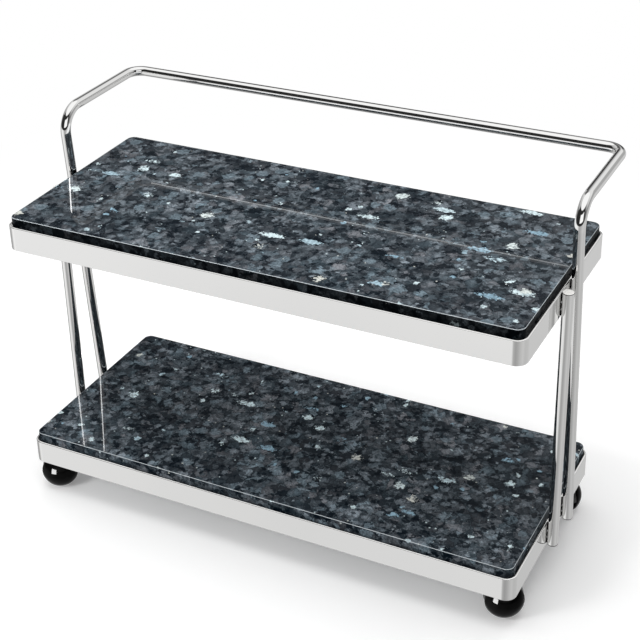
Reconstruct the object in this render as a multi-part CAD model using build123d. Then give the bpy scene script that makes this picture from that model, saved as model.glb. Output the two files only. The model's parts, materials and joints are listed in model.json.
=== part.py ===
from build123d import *
import math
import os

os.makedirs("parts", exist_ok=True)

# Two-tier serving trolley: stone shelves in chromed hoops, tube legs and handle, ball casters.
# Millimetres, +Z up. Pieces are drawn about the middle of the shelves with the floor at z = 0.
# save() then shifts them, so that the origin is the middle of the whole outline on the floor.

# Stone shelves
slab_length = 800.0
slab_depth = 335.0
slab_thick = 20.0
slab_corner_r = 12.0
slab_arris = 1.2
slab_proud = 13.0

# Hoops round the shelves
edge_gap = 2.0
hoop_thick = 3.0
hoop_height = 38.0
hoop_edge_round = 0.6
tier_rise = 382.0

# Leg and handle tubes
tube_d = 16.0
tube_wall = 1.5
tube_seat_gap = 0.1
front_leg_y = -24.0
rear_leg_y_low = 45.0
rear_leg_y_high = 18.0
handle_rise = 100.0
hand_gap = 31.0
arm_bend_r = 36.0
corner_bend_r = 24.0

# Plugs that close the tube ends
plug_flange = 1.5
plug_spigot = 3.0
plug_clearance = 0.05
plug_edge_round = 0.5

# Screws that hold the tubes to the hoops, and the slugs that they bite in
screw_d = 5.0
screw_length = 14.0
screw_head_d = 9.5
screw_head_h = 2.7
screw_head_round = 1.2
screw_socket_af = 3.0
screw_socket_deep = 1.6
screw_hole_play = 0.25
tapped_play = 0.05
screw_pitch = 11.0
screw_washer_d = 10.0
screw_washer_t = 1.0
slug_end = 4.5

# Cross rails under the slabs
rail_spread = 540.0
rail_width = 20.0
rail_height = 10.0
rail_wall = 1.5
rail_round = 1.6

# Rubber pads on the rails, and bumpers between slab and hoop
pad_d = 18.0
pad_thick = 2.0
pad_spacing = 220.0
bumper_length = 20.0
bumper_height = 6.0
bumper_spacing_long = 500.0
bumper_spacing_short = 200.0

# Corner plates that carry the casters
plate_size = 64.0
plate_thick = 3.0
plate_up = 9.0
plate_corner_gap = 2.0
plate_inner_cut = 18.0

# Casters: stem, nut, washer and clip
stem_d = 8.0
stem_hole_play = 0.25
stem_above_nut = 2.0
stem_chamfer = 0.8
collar_d = 18.0
collar_h = 3.0
nut_af = 13.0
nut_h = 6.5
nut_play = 0.05
caster_washer_d = 16.0
caster_washer_t = 1.6
pin_d = 6.0
pin_tip = 1.0
clip_t = 1.0
clip_side_gap = 0.3
clip_groove_deep = 0.6
clip_play = 0.1
clip_mouth = 4.0

# Casters: body and bush
trail = 10.0
swivel_gap = 0.3
bush_wall = 1.0
bush_length = 16.5
bush_fit = 0.05
pin_fit = 0.05
socket_spare = 0.9
body_thick = 12.0
hood_inset = 1.4
blade_inset = 6.0
boss_gap = 1.0

# Casters: axle and domed wheel halves
ball_d = 60.0
ball_top_gap = 3.0
tread_width = 2.6
wheel_face_gap = 0.4
wheel_hub_gap = 0.2
wheel_shell = 3.5
wheel_hub_d = 14.0
wheel_rib_count = 6
wheel_rib_thick = 1.8
axle_d = 6.0
axle_fit = 0.05
axle_length = 47.0
axle_end_gap = 0.5

# Each caster's corner of the trolley, and the way it trails as it stands, in degrees from +X
casters = {
    "front_left": ((-1, -1), 209.0),
    "front_right": ((1, -1), 29.0),
    "rear_left": ((-1, 1), 160.0),
    "rear_right": ((1, 1), -35.0),
}

# Worked-out caster sizes, up from the floor
ball_r = ball_d / 2
wheel_face = body_thick / 2 + wheel_face_gap
tread_r = math.sqrt(ball_r**2 - (wheel_face + tread_width) ** 2)
axle_z = tread_r
ball_top_z = axle_z + ball_r
collar_z = ball_top_z + ball_top_gap
plate_z = collar_z + collar_h
body_top_z = collar_z - swivel_gap
bush_bottom_z = body_top_z - bush_length
clip_bottom_z = bush_bottom_z - swivel_gap - clip_t
pin_tip_z = clip_bottom_z - pin_tip
socket_floor_z = pin_tip_z - socket_spare
bush_r = pin_d / 2 + pin_fit + bush_wall
socket_r = bush_r + bush_fit

# Worked-out shelf sizes
hoop_in_length = slab_length + 2 * edge_gap
hoop_in_depth = slab_depth + 2 * edge_gap
hoop_in_r = slab_corner_r + edge_gap
hoop_length = hoop_in_length + 2 * hoop_thick
hoop_depth = hoop_in_depth + 2 * hoop_thick
low_hoop_z = plate_z - plate_up
hoop_bottoms = {"lower": low_hoop_z, "upper": low_hoop_z + tier_rise}
slab_top_up = hoop_height + slab_proud
slab_bottom_up = slab_top_up - slab_thick
rail_top_up = slab_bottom_up - pad_thick
screw_ups = (slab_bottom_up / 2 - screw_pitch / 2, slab_bottom_up / 2 + screw_pitch / 2)
caster_x = hoop_in_length / 2 - plate_size / 2
caster_y = hoop_in_depth / 2 - plate_size / 2

# Worked-out tube places
tube_r = tube_d / 2
bore_r = tube_r - tube_wall
tube_x = hoop_length / 2 + tube_seat_gap + tube_r
tube_foot_z = low_hoop_z + plug_flange
front_leg_top_z = hoop_bottoms["upper"] + hoop_height - plug_flange
arm_z = hoop_bottoms["upper"] + slab_top_up + handle_rise
bar_y = hoop_depth / 2 + hand_gap + tube_r
rear_slope = (rear_leg_y_high - rear_leg_y_low) / tier_rise
cut_over = 1.0

# Each leg's side, slope and place at the lower hoop's bottom edge
legs = [
    (-1, 0.0, front_leg_y),
    (1, 0.0, front_leg_y),
    (-1, rear_slope, rear_leg_y_low),
    (1, rear_slope, rear_leg_y_low),
]

# The outline reaches from the hoop's front to the handle's back
outline_middle_y = (bar_y + tube_r - hoop_depth / 2) / 2
to_origin = Pos(0, -outline_middle_y, 0)


def save(name, shape):
    export_step(to_origin * shape, f"parts/{name}.step")


def group(solids):
    return Compound(list(solids))


def edges_at(shape, z):
    return shape.edges().filter_by_position(Axis.Z, z, z)


def rounded_block(length, depth, height, corner_r):
    return extrude(RectangleRounded(length, depth, corner_r), height)


def leg_point(leg, z):
    side, slope, y_low = leg
    return Vector(side * tube_x, y_low + slope * (z - low_hoop_z), z)


def leg_plane(leg, z):
    slope = leg[1]
    return Plane(origin=leg_point(leg, z), x_dir=(1, 0, 0), z_dir=(0, slope, 1))


def screw_point(leg, tier, up):
    return leg_point(leg, hoop_bottoms[tier] + up)


# A plane square to X through a screw's axis, facing outward
def screw_plane(leg, tier, up, x):
    side = leg[0]
    point = screw_point(leg, tier, up)
    return Plane(origin=(side * x, point.Y, point.Z), x_dir=(0, 0, 1), z_dir=(side, 0, 0))


def screw_hole(leg, tier, up, radius, start_x, end_x):
    return extrude(screw_plane(leg, tier, up, start_x) * Circle(radius), end_x - start_x)


def hoop(tier):
    bar = rounded_block(hoop_length, hoop_depth, hoop_height, hoop_in_r + hoop_thick)
    bar -= rounded_block(hoop_in_length, hoop_in_depth, hoop_height, hoop_in_r)
    bar = fillet(edges_at(bar, hoop_height) + edges_at(bar, 0), hoop_edge_round)
    bar = Pos(0, 0, hoop_bottoms[tier]) * bar
    hole_r = screw_d / 2 + screw_hole_play
    start_x = hoop_in_length / 2 - cut_over
    end_x = hoop_length / 2 + cut_over
    for leg in legs:
        for up in screw_ups:
            bar -= screw_hole(leg, tier, up, hole_r, start_x, end_x)
    return bar


def slab(tier):
    stone = rounded_block(slab_length, slab_depth, slab_thick, slab_corner_r)
    stone = chamfer(edges_at(stone, slab_thick), slab_arris)
    return Pos(0, 0, hoop_bottoms[tier] + slab_bottom_up) * stone


def cross_rail(tier, x):
    section = RectangleRounded(rail_width, rail_height, rail_round)
    section -= Rectangle(rail_width - 2 * rail_wall, rail_height - 2 * rail_wall)
    rail = extrude(Plane.XZ * section, hoop_in_depth / 2, both=True)
    return Pos(x, 0, hoop_bottoms[tier] + rail_top_up - rail_height / 2) * rail


rail_places = {"left": -rail_spread / 2, "centre": 0.0, "right": rail_spread / 2}


def slab_pads(tier):
    pad = Pos(0, 0, hoop_bottoms[tier] + rail_top_up) * extrude(Circle(pad_d / 2), pad_thick)
    ends = (-pad_spacing / 2, pad_spacing / 2)
    return group(Pos(x, y, 0) * pad for x in rail_places.values() for y in ends)


def edge_bumpers(tier):
    z = hoop_bottoms[tier] + slab_bottom_up + bumper_height / 2
    x = (slab_length + edge_gap) / 2
    y = (slab_depth + edge_gap) / 2
    bumpers = []
    for side in (-1, 1):
        for end in (-1, 1):
            along_front = Box(bumper_length, edge_gap, bumper_height)
            along_side = Box(edge_gap, bumper_length, bumper_height)
            bumpers.append(Pos(end * bumper_spacing_long / 2, side * y, z) * along_front)
            bumpers.append(Pos(side * x, end * bumper_spacing_short / 2, z) * along_side)
    return group(bumpers)


def tube_along(path):
    start = Plane(origin=path @ 0, z_dir=path % 0)
    return sweep(start * (Circle(tube_r) - Circle(bore_r)), path)


# Screw holes go through the inner wall of a tube only
def drill_tube(tube, drilled_legs):
    hole_r = screw_d / 2 + screw_hole_play
    for leg in drilled_legs:
        for tier in hoop_bottoms:
            for up in screw_ups:
                tube -= screw_hole(leg, tier, up, hole_r, hoop_length / 2 - cut_over, tube_x)
    return tube


def front_leg(leg):
    path = Line(leg_point(leg, tube_foot_z), leg_point(leg, front_leg_top_z))
    return drill_tube(tube_along(path), [leg])


# Both rear legs, the arms and the handle bar are one bent tube
def handle_tube(left_leg, right_leg):
    corners = [
        leg_point(left_leg, tube_foot_z),
        leg_point(left_leg, arm_z),
        Vector(-tube_x, bar_y, arm_z),
        Vector(tube_x, bar_y, arm_z),
        leg_point(right_leg, arm_z),
        leg_point(right_leg, tube_foot_z),
    ]
    bends = [arm_bend_r, corner_bend_r, corner_bend_r, arm_bend_r]
    path = FilletPolyline(*corners, radius=bends)
    return drill_tube(tube_along(path), [left_leg, right_leg])


# A plug has a flange as wide as the tube and a spigot that points along +Z into its bore
def tube_plug():
    flange = extrude(Circle(tube_r), -plug_flange)
    flange = fillet(edges_at(flange, -plug_flange), plug_edge_round)
    return flange + extrude(Circle(bore_r - plug_clearance), plug_spigot)


def leg_cap(leg):
    return Plane(origin=leg_point(leg, front_leg_top_z), z_dir=(0, 0, -1)) * tube_plug()


def foot_plugs():
    return group(leg_plane(leg, tube_foot_z) * tube_plug() for leg in legs)


def tube_slug(tier, leg):
    low_z = hoop_bottoms[tier] + screw_ups[0] - slug_end
    slug_r = bore_r - plug_clearance
    slug = extrude(leg_plane(leg, low_z) * Circle(slug_r), screw_pitch + 2 * slug_end)
    for up in screw_ups:
        tapped_r = screw_d / 2 + tapped_play
        slug -= screw_hole(leg, tier, up, tapped_r, tube_x - tube_r, tube_x + tube_r)
    return slug


# A screw with the seat of its head at the origin and its shank along +Z
def button_screw():
    head = extrude(Circle(screw_head_d / 2), -screw_head_h)
    head = fillet(edges_at(head, -screw_head_h), screw_head_round)
    hexagon = RegularPolygon(screw_socket_af / 2, 6, major_radius=False)
    socket = extrude(Plane.XY.offset(-screw_head_h) * hexagon, screw_socket_deep)
    shank = extrude(Circle(screw_d / 2), screw_length)
    shank = chamfer(edges_at(shank, screw_length), screw_d / 10)
    return head + shank - socket


def screw_washer():
    ring = Circle(screw_washer_d / 2) - Circle(screw_d / 2 + screw_hole_play)
    return extrude(ring, screw_washer_t)


def at_screws(tier, piece):
    seat_x = hoop_in_length / 2 - screw_washer_t
    return group(screw_plane(leg, tier, up, seat_x) * piece for leg in legs for up in screw_ups)


def caster_place(corner):
    sign_x, sign_y = casters[corner][0]
    return Pos(sign_x * caster_x, sign_y * caster_y, 0)


def corner_plate(corner):
    sign_x, sign_y = casters[corner][0]
    outline = Rectangle(plate_size, plate_size)
    across = outline.vertices().sort_by(lambda v: v.X * sign_x + v.Y * sign_y)
    outline = fillet(across[-1], hoop_in_r + plate_corner_gap)
    outline = chamfer(outline.vertices().sort_by_distance(across[0])[0], plate_inner_cut)
    outline -= Circle(stem_d / 2 + stem_hole_play)
    return caster_place(corner) * (Pos(0, 0, plate_z) * extrude(outline, plate_thick))


# The caster's own pieces are drawn about its stem, trailing to +X
def caster_stem():
    stem_top_z = plate_z + plate_thick + caster_washer_t + nut_h + stem_above_nut
    stem = Pos(0, 0, collar_z) * extrude(Circle(stem_d / 2), stem_top_z - collar_z)
    stem = chamfer(edges_at(stem, stem_top_z), stem_chamfer)
    pin = Pos(0, 0, pin_tip_z) * extrude(Circle(pin_d / 2), collar_z - pin_tip_z)
    pin = chamfer(edges_at(pin, pin_tip_z), stem_chamfer / 2)
    groove = Circle(pin_d / 2 + cut_over) - Circle(pin_d / 2 - clip_groove_deep)
    pin -= Pos(0, 0, clip_bottom_z - clip_play) * extrude(groove, clip_t + 2 * clip_play)
    collar = Pos(0, 0, collar_z) * extrude(Circle(collar_d / 2), collar_h)
    return stem + pin + collar


def stem_clip():
    ring = Circle(socket_r - clip_side_gap) - Circle(pin_d / 2 - clip_groove_deep + clip_play)
    ring -= Pos(socket_r, 0) * Rectangle(2 * socket_r, clip_mouth)
    return Pos(0, 0, clip_bottom_z) * extrude(ring, clip_t)


def caster_washer():
    ring = Circle(caster_washer_d / 2) - Circle(stem_d / 2 + stem_hole_play)
    return Pos(0, 0, plate_z + plate_thick) * extrude(ring, caster_washer_t)


def caster_nut():
    hexagon = RegularPolygon(nut_af / 2, 6, major_radius=False)
    nut = extrude(hexagon - Circle(stem_d / 2 + nut_play), nut_h)
    return Pos(0, 0, plate_z + plate_thick + caster_washer_t) * nut


def swivel_bush():
    ring = Circle(bush_r) - Circle(pin_d / 2 + pin_fit)
    return Pos(0, 0, bush_bottom_z) * extrude(ring, bush_length)


# The body is a blade between the wheel halves, wider above as a hood, under a flanged neck
def caster_body():
    hood_r = ball_r - hood_inset
    hood = Circle(hood_r) & Pos(0, hood_r / 2) * Rectangle(2 * hood_r, hood_r)
    side_view = hood + Circle(ball_r - blade_inset) - Circle(axle_d / 2 + axle_fit)
    blade = extrude(Plane.XZ * Pos(trail, axle_z) * side_view, body_thick / 2, both=True)
    neck = Pos(0, 0, axle_z) * extrude(Circle(body_thick / 2), body_top_z - axle_z)
    boss_z = ball_top_z + boss_gap
    boss = Pos(0, 0, boss_z) * extrude(Circle(collar_d / 2), body_top_z - boss_z)
    axle_room = extrude(Plane.XZ * Pos(trail, axle_z) * Circle(axle_d / 2 + axle_fit), ball_r, both=True)
    socket = Pos(0, 0, socket_floor_z) * extrude(Circle(socket_r), body_top_z - socket_floor_z)
    return blade + neck + boss - axle_room - socket


def wheel_axle():
    rod = extrude(Plane.XZ * Circle(axle_d / 2), axle_length / 2, both=True)
    rod = chamfer(rod.edges().filter_by(GeomType.CIRCLE), axle_d / 10)
    return Pos(trail, 0, axle_z) * rod


# A wheel half is a ribbed dome with a flat tread, a hub and a blind bore, drawn along +Z
def wheel_half(side):
    half_space = Pos(0, 0, wheel_face + ball_r / 2) * Cylinder(tread_r, ball_r)
    dome = Sphere(ball_r) & half_space
    hollow = Sphere(ball_r - wheel_shell) & half_space
    hub_face = body_thick / 2 + wheel_hub_gap
    hub = Pos(0, 0, hub_face) * extrude(Circle(wheel_hub_d / 2), ball_r - wheel_shell - hub_face)
    half = dome - hollow + hub
    rib = Pos(ball_r / 2, 0, ball_r / 2) * Box(ball_r, wheel_rib_thick, ball_r)
    for turn in range(wheel_rib_count):
        half += Rot(0, 0, turn * 360 / wheel_rib_count) * rib & hollow
    half -= extrude(Circle(axle_d / 2 + axle_fit), axle_length / 2 + axle_end_gap)
    return Pos(trail, 0, axle_z) * (Rot(-90 * side, 0, 0) * half)


for tier in hoop_bottoms:
    save(f"{tier}_hoop", hoop(tier))
    save(f"{tier}_slab", slab(tier))
    for place, x in rail_places.items():
        save(f"{tier}_rail_{place}", cross_rail(tier, x))
    save(f"{tier}_slab_pads", slab_pads(tier))
    save(f"{tier}_edge_bumpers", edge_bumpers(tier))
    save(f"{tier}_tube_slugs", group(tube_slug(tier, leg) for leg in legs))
    save(f"{tier}_tube_screws", at_screws(tier, button_screw()))
    save(f"{tier}_screw_washers", at_screws(tier, screw_washer()))

front_left_leg, front_right_leg, rear_left_leg, rear_right_leg = legs
save("left_front_leg", front_leg(front_left_leg))
save("right_front_leg", front_leg(front_right_leg))
save("left_leg_cap", leg_cap(front_left_leg))
save("right_leg_cap", leg_cap(front_right_leg))
save("handle_tube", handle_tube(rear_left_leg, rear_right_leg))
save("foot_plugs", foot_plugs())

caster_pieces = {
    "caster_stem": caster_stem(),
    "swivel_bush": swivel_bush(),
    "caster_body": caster_body(),
    "axle": wheel_axle(),
    "wheel_left": wheel_half(1),
    "wheel_right": wheel_half(-1),
}
turned = {corner: caster_place(corner) * Rot(0, 0, casters[corner][1]) for corner in casters}
for corner in casters:
    save(f"{corner}_corner_plate", corner_plate(corner))
    for name, piece in caster_pieces.items():
        save(f"{corner}_{name}", turned[corner] * piece)
save("stem_clips", group(turned[corner] * stem_clip() for corner in casters))
save("caster_washers", group(turned[corner] * caster_washer() for corner in casters))
save("caster_nuts", group(turned[corner] * caster_nut() for corner in casters))
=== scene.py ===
import json
import math

import bmesh
import bpy
from mathutils import Matrix, Vector


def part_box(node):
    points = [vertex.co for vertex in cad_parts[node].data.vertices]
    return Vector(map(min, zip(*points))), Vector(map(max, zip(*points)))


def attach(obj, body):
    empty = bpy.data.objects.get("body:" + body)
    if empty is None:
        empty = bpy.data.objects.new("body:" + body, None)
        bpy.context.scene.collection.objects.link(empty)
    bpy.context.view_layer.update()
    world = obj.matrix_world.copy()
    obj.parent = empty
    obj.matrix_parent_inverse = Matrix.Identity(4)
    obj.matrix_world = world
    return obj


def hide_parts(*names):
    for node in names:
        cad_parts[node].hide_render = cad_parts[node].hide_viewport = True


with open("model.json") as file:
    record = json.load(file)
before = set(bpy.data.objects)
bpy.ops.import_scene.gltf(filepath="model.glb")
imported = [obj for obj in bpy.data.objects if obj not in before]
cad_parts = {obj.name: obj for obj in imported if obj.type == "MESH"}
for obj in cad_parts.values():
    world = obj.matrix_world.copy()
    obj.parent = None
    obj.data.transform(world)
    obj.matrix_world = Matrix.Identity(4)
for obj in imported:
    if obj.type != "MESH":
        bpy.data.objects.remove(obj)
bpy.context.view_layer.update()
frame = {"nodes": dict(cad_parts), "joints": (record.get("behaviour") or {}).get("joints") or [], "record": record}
tiers = ("lower", "upper")
corners = ("front_left", "front_right", "rear_left", "rear_right")
print("frame loaded:", len(frame["nodes"]), "nodes")


# Nodes and links of a shader or geometry tree, written short
def addNode(tree, kind, values=None, **settings):
    node = tree.nodes.new(kind)
    for name, value in settings.items():
        setattr(node, name, value)
    for socket, value in (values or {}).items():
        fill(tree, node.inputs[socket], value)
    return node


def fill(tree, socket, value):
    if isinstance(value, bpy.types.NodeSocket):
        tree.links.new(value, socket)
    else:
        socket.default_value = value


def startMaterial(name):
    material = bpy.data.materials.new(name)
    material.use_nodes = True
    material.node_tree.nodes.clear()
    return material, material.node_tree


def finishMaterial(tree, shader):
    addNode(tree, "ShaderNodeOutputMaterial", {"Surface": shader.outputs[0]})


def startGroup(name, inputs, outputs):
    tree = bpy.data.node_groups.new(name, "ShaderNodeTree")
    for label, kind, value in inputs:
        socket = tree.interface.new_socket(label, in_out="INPUT", socket_type=kind)
        socket.default_value = value
    for label, kind in outputs:
        tree.interface.new_socket(label, in_out="OUTPUT", socket_type=kind)
    return tree, tree.nodes.new("NodeGroupInput"), tree.nodes.new("NodeGroupOutput")


def useGroup(tree, group, values):
    node = addNode(tree, "ShaderNodeGroup", node_tree=group)
    for socket, value in values.items():
        fill(tree, node.inputs[socket], value)
    return node


def objectPoint(tree):
    return addNode(tree, "ShaderNodeTexCoord").outputs["Object"]


def mixColor(tree, factor, first, second, blend="MIX"):
    node = addNode(tree, "ShaderNodeMix", data_type="RGBA", blend_type=blend)
    fill(tree, node.inputs[0], factor)
    fill(tree, node.inputs[6], first)
    fill(tree, node.inputs[7], second)
    return node.outputs[2]


def math2(tree, operation, first, second=0.0, clamp=False):
    node = addNode(tree, "ShaderNodeMath", operation=operation, use_clamp=clamp)
    fill(tree, node.inputs[0], first)
    fill(tree, node.inputs[1], second)
    return node.outputs[0]


def vector2(tree, operation, first, second):
    node = addNode(tree, "ShaderNodeVectorMath", operation=operation)
    fill(tree, node.inputs[0], first)
    fill(tree, node.inputs[1], second)
    return node.outputs[0]


def scaled(tree, vector, amount):
    node = addNode(tree, "ShaderNodeVectorMath", {0: vector}, operation="SCALE")
    fill(tree, node.inputs["Scale"], amount)
    return node.outputs[0]


def spread(tree, value, low, high, outLow=0.0, outHigh=1.0):
    settings = {"Value": value, "From Min": low, "From Max": high, "To Min": outLow, "To Max": outHigh}
    return addNode(tree, "ShaderNodeMapRange", settings).outputs[0]


# 1 between two values, with soft ends
def between(tree, value, low, high, soft):
    rising = spread(tree, value, low, math2(tree, "ADD", low, soft))
    falling = spread(tree, value, math2(tree, "SUBTRACT", high, soft), high, 1.0, 0.0)
    return math2(tree, "MULTIPLY", rising, falling)


def noise(tree, point, scale, detail=3.0, roughness=0.5, distortion=0.0):
    settings = {"Vector": point, "Scale": scale, "Detail": detail, "Roughness": roughness}
    settings["Distortion"] = distortion
    return addNode(tree, "ShaderNodeTexNoise", settings)


# Fine handling marks: a roughness and a height that change over the surface
def makeMarksGroup():
    inputs = [
        ("Grain Scale", "NodeSocketFloat", 900.0),
        ("Smudge Scale", "NodeSocketFloat", 14.0),
        ("Roughness Low", "NodeSocketFloat", 0.03),
        ("Roughness High", "NodeSocketFloat", 0.07),
    ]
    outputs = [("Roughness", "NodeSocketFloat"), ("Height", "NodeSocketFloat")]
    tree, groupIn, groupOut = startGroup("surfaceMarks", inputs, outputs)
    point = objectPoint(tree)
    grain = noise(tree, point, groupIn.outputs["Grain Scale"], 2.0).outputs["Fac"]
    smudge = noise(tree, point, groupIn.outputs["Smudge Scale"], 4.0, 0.6).outputs["Fac"]
    blended = math2(tree, "MULTIPLY_ADD", grain, 0.25)
    fill(tree, blended.node.inputs[2], math2(tree, "MULTIPLY", smudge, 0.75))
    low, high = groupIn.outputs["Roughness Low"], groupIn.outputs["Roughness High"]
    fill(tree, groupOut.inputs["Roughness"], spread(tree, blended, 0.35, 0.65, low, high))
    fill(tree, groupOut.inputs["Height"], grain)
    return tree


surfaceMarks = makeMarksGroup()


# Chrome plate: the colour is plain, and only its gloss wanders with handling. The fronts of the left
# legs and of the handle's bar glow with painted light (emission, though the chrome is no lamp) when a stone's top
# mirrors them. This draws them there as painted bright reflection lines: such a ray rises from the top by a known share
# of its length
def makeChrome():
    look = {
        "color": (0.885, 0.882, 0.872, 1.0), "bump": 0.012, "bumpReach": 0.00002,
        "paintedGlowWay": (0.068, -0.998, 0.0), "paintedGlowFrom": (0.984, 0.989), "rise": (0.36, 0.67, 0.01),
        "legSide": (-0.4, -0.402), "legPaintedGlow": 13.0, "barFoot": (0.57, 0.575), "barPaintedGlow": 3.4,
        "barRise": (0.428, 0.458, 0.004), "barLean": -0.07,
    }
    material, tree = startMaterial("polishedChrome")
    marks = useGroup(tree, surfaceMarks, {
        "Grain Scale": 1400.0, "Smudge Scale": 9.0, "Roughness Low": 0.012, "Roughness High": 0.04,
    })
    haze = noise(tree, objectPoint(tree), 5.0, 2.0).outputs["Fac"]
    tint = mixColor(tree, spread(tree, haze, 0.35, 0.65), look["color"], (0.868, 0.867, 0.86, 1.0))
    bump = addNode(tree, "ShaderNodeBump", {
        "Strength": look["bump"], "Distance": look["bumpReach"], "Height": marks.outputs["Height"],
    })
    shader = addNode(tree, "ShaderNodeBsdfPrincipled", {
        "Base Color": tint, "Metallic": 1.0, "Roughness": marks.outputs["Roughness"],
        "Normal": bump.outputs["Normal"], "Emission Color": (1.0, 1.0, 1.0, 1.0),
    })
    facing = addNode(tree, "ShaderNodeNewGeometry").outputs["Normal"]
    toward = addNode(tree, "ShaderNodeVectorMath", {0: facing, 1: look["paintedGlowWay"]}, operation="DOT_PRODUCT")
    path = addNode(tree, "ShaderNodeLightPath").outputs
    front = math2(tree, "MULTIPLY", path["Is Glossy Ray"], spread(tree, toward.outputs["Value"], *look["paintedGlowFrom"]))
    place = addNode(tree, "ShaderNodeSeparateXYZ", {"Vector": objectPoint(tree)}).outputs
    lowTop, highTop = (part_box(f"{tier}_slab")[1].z for tier in tiers)
    overTop = math2(tree, "MULTIPLY_ADD", math2(tree, "GREATER_THAN", place[2], highTop), lowTop - highTop)
    fill(tree, overTop.node.inputs[2], math2(tree, "SUBTRACT", place[2], lowTop))
    rise = math2(tree, "DIVIDE", overTop, path["Ray Length"])
    front = math2(tree, "MULTIPLY", front, between(tree, rise, *look["rise"]))
    leg = spread(tree, place[0], *look["legSide"], 0.0, look["legPaintedGlow"])
    leaning = math2(tree, "MULTIPLY_ADD", place[0], look["barLean"])
    fill(tree, leaning.node.inputs[2], rise)
    bar = math2(tree, "MULTIPLY", spread(tree, place[2], *look["barFoot"], 0.0, look["barPaintedGlow"]),
                between(tree, leaning, *look["barRise"]))
    # Painted glow: an emission strength on the chrome, seen only by mirror rays, paints bright reflection lines into
    # the stone
    paintedGlow = math2(tree, "MULTIPLY", front, math2(tree, "MAXIMUM", leg, bar))
    fill(tree, shader.inputs["Emission Strength"], paintedGlow)
    finishMaterial(tree, shader)
    return material


# Polished stone: crystals of three sizes, black grains, thin pale rims and bright patches
def makeStoneGroup():
    inputs = [
        ("Place", "NodeSocketVector", (0.0, 0.0, 0.0)),
        ("Black Level", "NodeSocketFloat", 0.42),
        ("Tone", "NodeSocketFloat", 1.0),
        ("Bright Share", "NodeSocketFloat", 0.1),
    ]
    outputs = [("Color", "NodeSocketColor"), ("Polish", "NodeSocketFloat")]
    tree, groupIn, groupOut = startGroup("graniteGrain", inputs, outputs)
    start = vector2(tree, "ADD", objectPoint(tree), groupIn.outputs["Place"])

    def warp(point, scale, amount, detail=5.0):
        drift = noise(tree, point, scale, detail, 0.68).outputs["Color"]
        centred = vector2(tree, "SUBTRACT", drift, (0.5, 0.5, 0.5))
        return vector2(tree, "ADD", point, scaled(tree, centred, amount))

    # Random numbers of the cell that a point lies in, and how far its middle is
    def cells(point, scale, shape="EUCLIDEAN"):
        cell = addNode(tree, "ShaderNodeTexVoronoi", {"Vector": point, "Scale": scale}, distance=shape)
        numbers = addNode(tree, "ShaderNodeSeparateColor", {"Color": cell.outputs["Color"]})
        return numbers.outputs, cell.outputs["Distance"]

    # One size of crystal: tones that differ from cell to cell and sink towards the edge, with streaks
    # that lie each cell's own way
    def crystals(point, scale, streakScale, low, high):
        numbers, reach = cells(point, scale, "MANHATTAN")
        turned = addNode(tree, "ShaderNodeVectorRotate", {
            "Vector": warp(start, 70.0, 0.008, 2.0), "Angle": math2(tree, "MULTIPLY", numbers[2], math.pi),
        })
        stretched = addNode(tree, "ShaderNodeMapping", {
            "Vector": turned.outputs[0], "Scale": (streakScale, streakScale * 4.0, streakScale * 2.0),
        })
        streak = noise(tree, stretched.outputs[0], 1.0, 5.0, 0.7).outputs["Fac"]
        shade = math2(tree, "POWER", numbers[0], 1.8)
        shade = math2(tree, "MULTIPLY", shade, spread(tree, streak, 0.3, 0.7, 0.2, 1.7))
        shade = math2(tree, "MULTIPLY", shade, spread(tree, reach, 0.35, 0.95, 1.15, 0.6))
        return spread(tree, shade, 0.0, 1.0, low, high), numbers[1], streak

    bent = warp(start, 48.0, 0.013, 4.0)
    bigTone, bigHue, bigStreak = crystals(bent, 52.0, 60.0, 0.016, 0.22)
    midTone, midHue, midStreak = crystals(warp(start, 90.0, 0.009, 3.0), 112.0, 120.0, 0.014, 0.27)
    useMid = spread(tree, midHue, 0.5, 0.6, 0.0, 0.85)
    tone = mixColor(tree, useMid, bigTone, midTone)
    hue = mixColor(tree, useMid, bigHue, midStreak)
    fine = noise(tree, start, 430.0, 4.0, 0.7).outputs["Fac"]
    tone = math2(tree, "MULTIPLY", tone, spread(tree, fine, 0.3, 0.7, 0.55, 1.45))
    cloud = noise(tree, start, 13.0, 2.0, 0.6).outputs["Fac"]
    tone = math2(tree, "MULTIPLY", tone, spread(tree, cloud, 0.35, 0.65, 0.72, 1.28))
    warm, cool = (0.94, 0.97, 1.05, 1.0), (0.74, 0.98, 1.14, 1.0)
    color = mixColor(tree, 1.0, tone, mixColor(tree, spread(tree, hue, 0.1, 0.95), warm, cool), "MULTIPLY")

    # Pale rims along some of the crystals' edges
    rim = addNode(tree, "ShaderNodeTexVoronoi", {"Vector": bent, "Scale": 112.0}, feature="DISTANCE_TO_EDGE")
    line = spread(tree, rim.outputs["Distance"], 0.015, 0.06, 1.0, 0.0)
    where = noise(tree, start, 55.0, 2.0).outputs["Fac"]
    line = math2(tree, "MULTIPLY", line, spread(tree, where, 0.5, 0.62, 0.0, 0.5))
    color = mixColor(tree, line, color, (0.13, 0.165, 0.185, 1.0))

    # Dark cracks between the large crystals
    gap = addNode(tree, "ShaderNodeTexVoronoi", {"Vector": bent, "Scale": 52.0}, feature="DISTANCE_TO_EDGE")
    crack = spread(tree, gap.outputs["Distance"], 0.0, 0.05, 0.5, 1.0)
    color = mixColor(tree, 1.0, color, crack, "MULTIPLY")

    # Black grains, jagged and of all sizes
    blotch = noise(tree, warp(start, 95.0, 0.01, 3.0), 66.0, 5.0, 0.58).outputs["Fac"]
    edgeHigh = math2(tree, "ADD", groupIn.outputs["Black Level"], 0.05)
    notBlack = addNode(tree, "ShaderNodeMapRange", {
        "Value": blotch, "From Min": groupIn.outputs["Black Level"], "From Max": edgeHigh,
        "To Min": 0.12, "To Max": 1.0,
    })
    color = mixColor(tree, 1.0, color, notBlack.outputs[0], "MULTIPLY")

    # Patches that catch the light: a share of the cells, each with a torn outline of its own size
    torn = noise(tree, start, 240.0, 5.0, 0.68).outputs["Fac"]

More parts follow.
